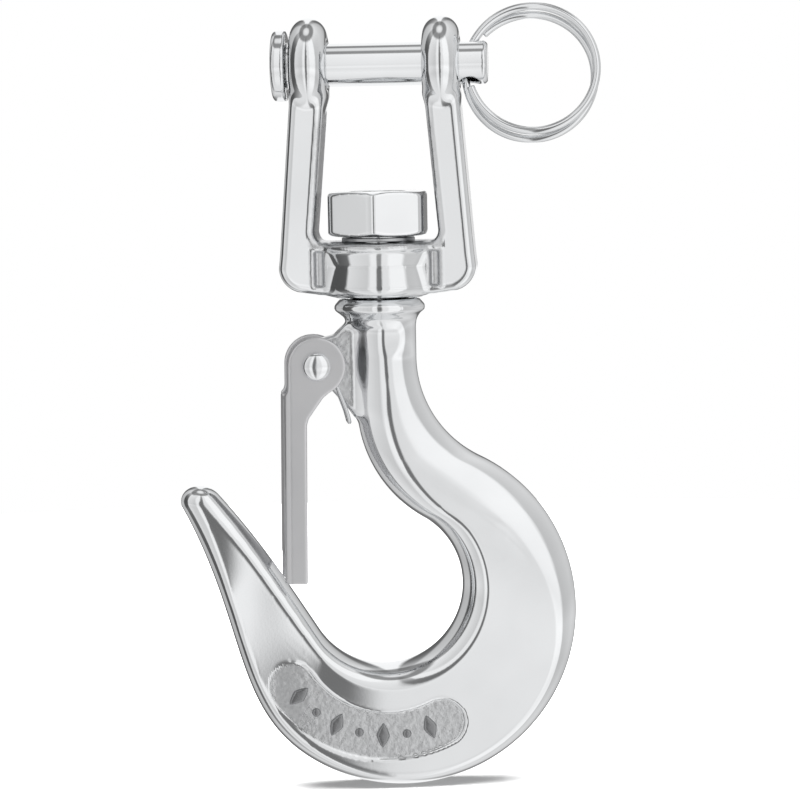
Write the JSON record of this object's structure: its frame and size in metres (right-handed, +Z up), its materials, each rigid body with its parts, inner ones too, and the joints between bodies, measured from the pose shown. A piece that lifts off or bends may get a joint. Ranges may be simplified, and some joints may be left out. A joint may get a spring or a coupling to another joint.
{
  "type": "swivel hook",
  "caption": "Polished stainless lifting hook with a sprung safety latch, swivelling under a clevis jaw with a removable pin kept by a split ring.",
  "frame": {"origin": "centre of the clevis pin, midway between the jaw's ears", "axes": "+X along the clevis pin towards its split ring, +Z up along the swivel shank, -Y is the front of the hook with the marked panel"},
  "size_m": [0.0791, 0.022, 0.1459],
  "materials": {
    "polished_stainless": "mirror-polished cast stainless steel",
    "nut_stainless": "polished stainless steel",
    "pin_stainless": "turned and polished stainless steel",
    "satin_stainless": "plain stainless steel",
    "latch_sheet": "satin pressed stainless sheet",
    "rivet_stainless": "polished stainless steel",
    "spring_wire": "drawn stainless spring wire",
    "ring_wire": "bright drawn wire"
  },
  "bodies": {
    "clevis": {"clevis_jaw": "polished_stainless"},
    "hook": {"hook_body": "polished_stainless", "shank_nut": "nut_stainless", "thrust_washer": "satin_stainless", "latch_rivet": "rivet_stainless", "latch_spring": "spring_wire"},
    "latch": {"safety_latch": "latch_sheet"},
    "pin": {"clevis_pin": "pin_stainless"},
    "ring": {"split_ring": "ring_wire"}
  },
  "joints": [
    {"name": "hook_swivel", "type": "hinge", "parent": "clevis", "child": "hook", "pos_m": [0, 0, -0.038], "axis": [0, 0, 1], "continuous": true},
    {"name": "latch_pivot", "type": "hinge", "parent": "hook", "child": "latch", "pos_m": [-0.01218, -0.00204, -0.05545], "axis": [0.165, -0.9863, 0], "range_deg": [0, 36], "stiffness_Nm_per_rad": 0.02, "springref_deg": -34.38, "deforming": ["latch_spring"]},
    {"name": "pin_turn", "type": "hinge", "parent": "clevis", "child": "pin", "pos_m": [0, 0, 0], "axis": [1, 0, 0], "continuous": true},
    {"name": "ring_swing", "type": "hinge", "parent": "pin", "child": "ring", "pos_m": [0.0176, 0, 0], "axis": [0, 0.2756, 0.9613], "range_deg": [-75, 35]}
  ]
}
